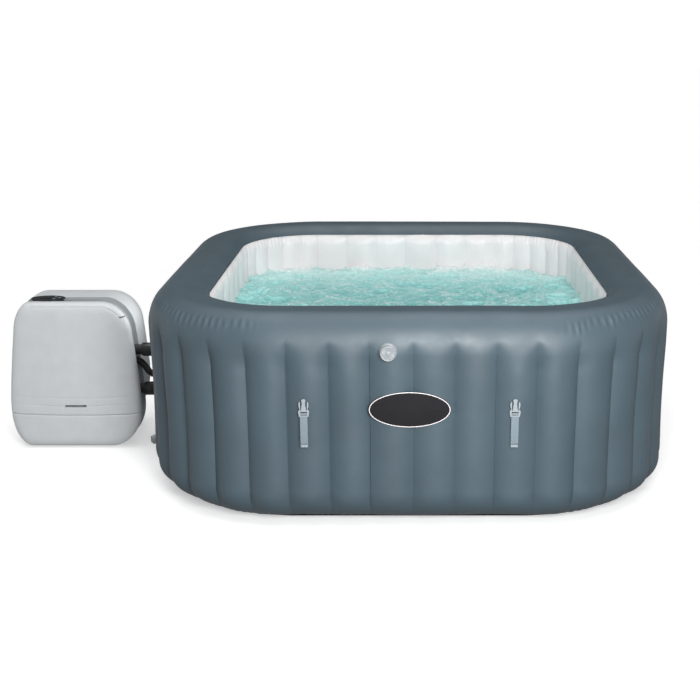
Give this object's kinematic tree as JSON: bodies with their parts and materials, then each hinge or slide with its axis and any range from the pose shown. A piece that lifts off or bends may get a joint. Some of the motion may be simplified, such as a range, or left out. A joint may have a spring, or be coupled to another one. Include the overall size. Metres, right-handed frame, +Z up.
{
  "type": "inflatable hot tub",
  "caption": "Square inflatable hot tub with ribbed walls, joined by water couplings and an air hose to a free-standing pump and heater unit.",
  "frame": {"origin": "centre of the tub's underside, on the floor", "axes": "+Z up, -Y towards the front wall with the air valve and badge, -X towards the pump unit"},
  "size_m": [2.4163, 1.827, 0.71],
  "materials": {
    "wall_pvc": "welded PVC sheet, satin",
    "liner_pvc": "welded PVC sheet, satin",
    "base_pvc": "coarse PVC sheet",
    "housing": "moulded, fine grain",
    "channel": "moulded, fine grain",
    "black_gloss": "gloss",
    "black_plastic": "satin",
    "white_plastic": "satin",
    "badge": "satin printed patch",
    "webbing": "woven webbing",
    "rubber": "matt",
    "steel": "brushed",
    "filter_paper": "pleated filter fabric",
    "grey_plastic": "satin"
  },
  "bodies": {
    "tub": {"base_sheet": "base_pvc", "tub_floor": "liner_pvc", "outer_wall": "wall_pvc", "top_collar": "wall_pvc", "inner_wall": "liner_pvc", "wall_baffles": "liner_pvc", "jet_supply_loop": "white_plastic", "air_channel": "liner_pvc", "outlet_wall_fitting": "black_plastic", "suction_wall_fitting": "black_plastic", "suction_screen": "white_plastic", "air_wall_fitting": "black_plastic", "air_valve_body": "white_plastic", "drain_valve_body": "white_plastic", "badge_plate": "badge"},
    "pump_unit": {"rear_shell": "housing", "channel_shell": "channel", "lower_front_shell": "housing", "carry_handle": "housing", "control_panel": "black_gloss", "display_window": "black_gloss", "rubber_foot_front": "rubber", "rubber_foot_rear": "rubber", "outlet_spigot": "black_plastic", "suction_spigot": "black_plastic", "filter_housing": "grey_plastic", "circulator_volute": "black_plastic", "circulator_motor": "steel", "heater_tube": "steel", "blower_housing": "black_plastic", "blower_motor": "steel", "control_board": "grey_plastic", "cable_gland": "black_plastic", "air_hose": "black_plastic", "suction_hose": "rubber", "heater_hose": "rubber", "outlet_hose": "rubber", "air_duct": "rubber"},
    "service_door": {"service_door": "housing"},
    "door_latch": {"door_latch": "housing"},
    "filter_element": {"filter_cap": "grey_plastic", "filter_cartridge": "filter_paper"},
    "circulator_impeller": {"circulator_impeller": "white_plastic"},
    "blower_fan": {"blower_fan": "white_plastic"},
    "air_valve_cap": {"air_valve_cap": "white_plastic"},
    "drain_valve_cap": {"drain_valve_cap": "white_plastic"},
    "outlet_coupling_nut": {"outlet_coupling_nut": "black_plastic"},
    "suction_coupling_nut": {"suction_coupling_nut": "black_plastic"},
    "air_hose_collar": {"air_hose_collar": "black_plastic"},
    "cover_clip_left": {"cover_strap_left": "webbing", "cover_buckle_left": "housing"},
    "cover_clip_right": {"cover_strap_right": "webbing", "cover_buckle_right": "housing"},
    "jet_nozzle_1": {"jet_nozzle_1": "white_plastic"},
    "jet_nozzle_2": {"jet_nozzle_2": "white_plastic"},
    "jet_nozzle_3": {"jet_nozzle_3": "white_plastic"},
    "jet_nozzle_4": {"jet_nozzle_4": "white_plastic"},
    "button_heat": {"button_heat": "grey_plastic"},
    "button_bubbles": {"button_bubbles": "grey_plastic"},
    "button_filter": {"button_filter": "grey_plastic"}
  },
  "joints": [
    {"name": "pump_pull_off", "type": "slide", "parent": "tub", "child": "pump_unit", "axis": [-1, 0, 0], "range_m": [0, 0.15]},
    {"name": "service_door_hinge", "type": "hinge", "parent": "pump_unit", "child": "service_door", "pos_m": [-1.261, -0.169, 0.559], "axis": [-1, 0, 0], "range_deg": [0, 75]},
    {"name": "door_latch_slide", "type": "slide", "parent": "service_door", "child": "door_latch", "axis": [0, 0, 1], "range_m": [0, 0.0085], "stiffness_N_per_m": 200, "springref_m": -0.001},
    {"name": "filter_pull", "type": "slide", "parent": "pump_unit", "child": "filter_element", "axis": [0, -1, 0], "range_m": [0, 0.045]},
    {"name": "impeller_spin", "type": "hinge", "parent": "pump_unit", "child": "circulator_impeller", "pos_m": [-1.345, 0.03, 0.13], "axis": [0, 1, 0], "continuous": true},
    {"name": "blower_spin", "type": "hinge", "parent": "pump_unit", "child": "blower_fan", "pos_m": [-1.18, 0.06, 0.48], "axis": [0, 0, 1], "continuous": true},
    {"name": "air_valve_cap_turn", "type": "hinge", "parent": "tub", "child": "air_valve_cap", "pos_m": [-0.062, -0.915, 0.6], "axis": [0, -1, 0], "range_deg": [0, 180]},
    {"name": "drain_valve_cap_turn", "type": "hinge", "parent": "tub", "child": "drain_valve_cap", "pos_m": [-0.925, -0.385, 0.118], "axis": [-1, 0, 0], "range_deg": [0, 180]},
    {"name": "outlet_nut_turn", "type": "hinge", "parent": "tub", "child": "outlet_coupling_nut", "pos_m": [-0.99, -0.106, 0.378], "axis": [-1, 0, 0], "range_deg": [0, 180]},
    {"name": "suction_nut_turn", "type": "hinge", "parent": "tub", "child": "suction_coupling_nut", "pos_m": [-0.99, -0.106, 0.222], "axis": [-1, 0, 0], "range_deg": [0, 180]},
    {"name": "air_collar_turn", "type": "hinge", "parent": "tub", "child": "air_hose_collar", "pos_m": [-0.943, -0.106, 0.277], "axis": [-1, 0, 0], "range_deg": [0, 180]},
    {"name": "cover_clip_left_fold", "type": "hinge", "parent": "tub", "child": "cover_clip_left", "pos_m": [-0.327, -0.903, 0.293], "axis": [1, 0, 0], "range_deg": [0, 90]},
    {"name": "cover_clip_right_fold", "type": "hinge", "parent": "tub", "child": "cover_clip_right", "pos_m": [0.335, -0.903, 0.293], "axis": [1, 0, 0], "range_deg": [0, 90]},
    {"name": "jet_nozzle_1_swivel", "type": "hinge", "parent": "tub", "child": "jet_nozzle_1", "pos_m": [0.211, -0.684, 0.352], "axis": [0, 0, 1], "range_deg": [-9, 9]},
    {"name": "jet_nozzle_2_swivel", "type": "hinge", "parent": "tub", "child": "jet_nozzle_2", "pos_m": [0.684, 0.211, 0.352], "axis": [0, 0, 1], "range_deg": [-9, 9]},
    {"name": "jet_nozzle_3_swivel", "type": "hinge", "parent": "tub", "child": "jet_nozzle_3", "pos_m": [-0.211, 0.684, 0.352], "axis": [0, 0, 1], "range_deg": [-9, 9]},
    {"name": "jet_nozzle_4_swivel", "type": "hinge", "parent": "tub", "child": "jet_nozzle_4", "pos_m": [-0.684, -0.211, 0.352], "axis": [0, 0, 1], "range_deg": [-9, 9]},
    {"name": "button_heat_press", "type": "slide", "parent": "pump_unit", "child": "button_heat", "axis": [0, 0, -1], "range_m": [0, 0.0004], "stiffness_N_per_m": 2500, "springref_m": -0.0001},
    {"name": "button_bubbles_press", "type": "slide", "parent": "pump_unit", "child": "button_bubbles", "axis": [0, 0, -1], "range_m": [0, 0.0004], "stiffness_N_per_m": 2500, "springref_m": -0.0001},
    {"name": "button_filter_press", "type": "slide", "parent": "pump_unit", "child": "button_filter", "axis": [0, 0, -1], "range_m": [0, 0.0004], "stiffness_N_per_m": 2500, "springref_m": -0.0001}
  ]
}
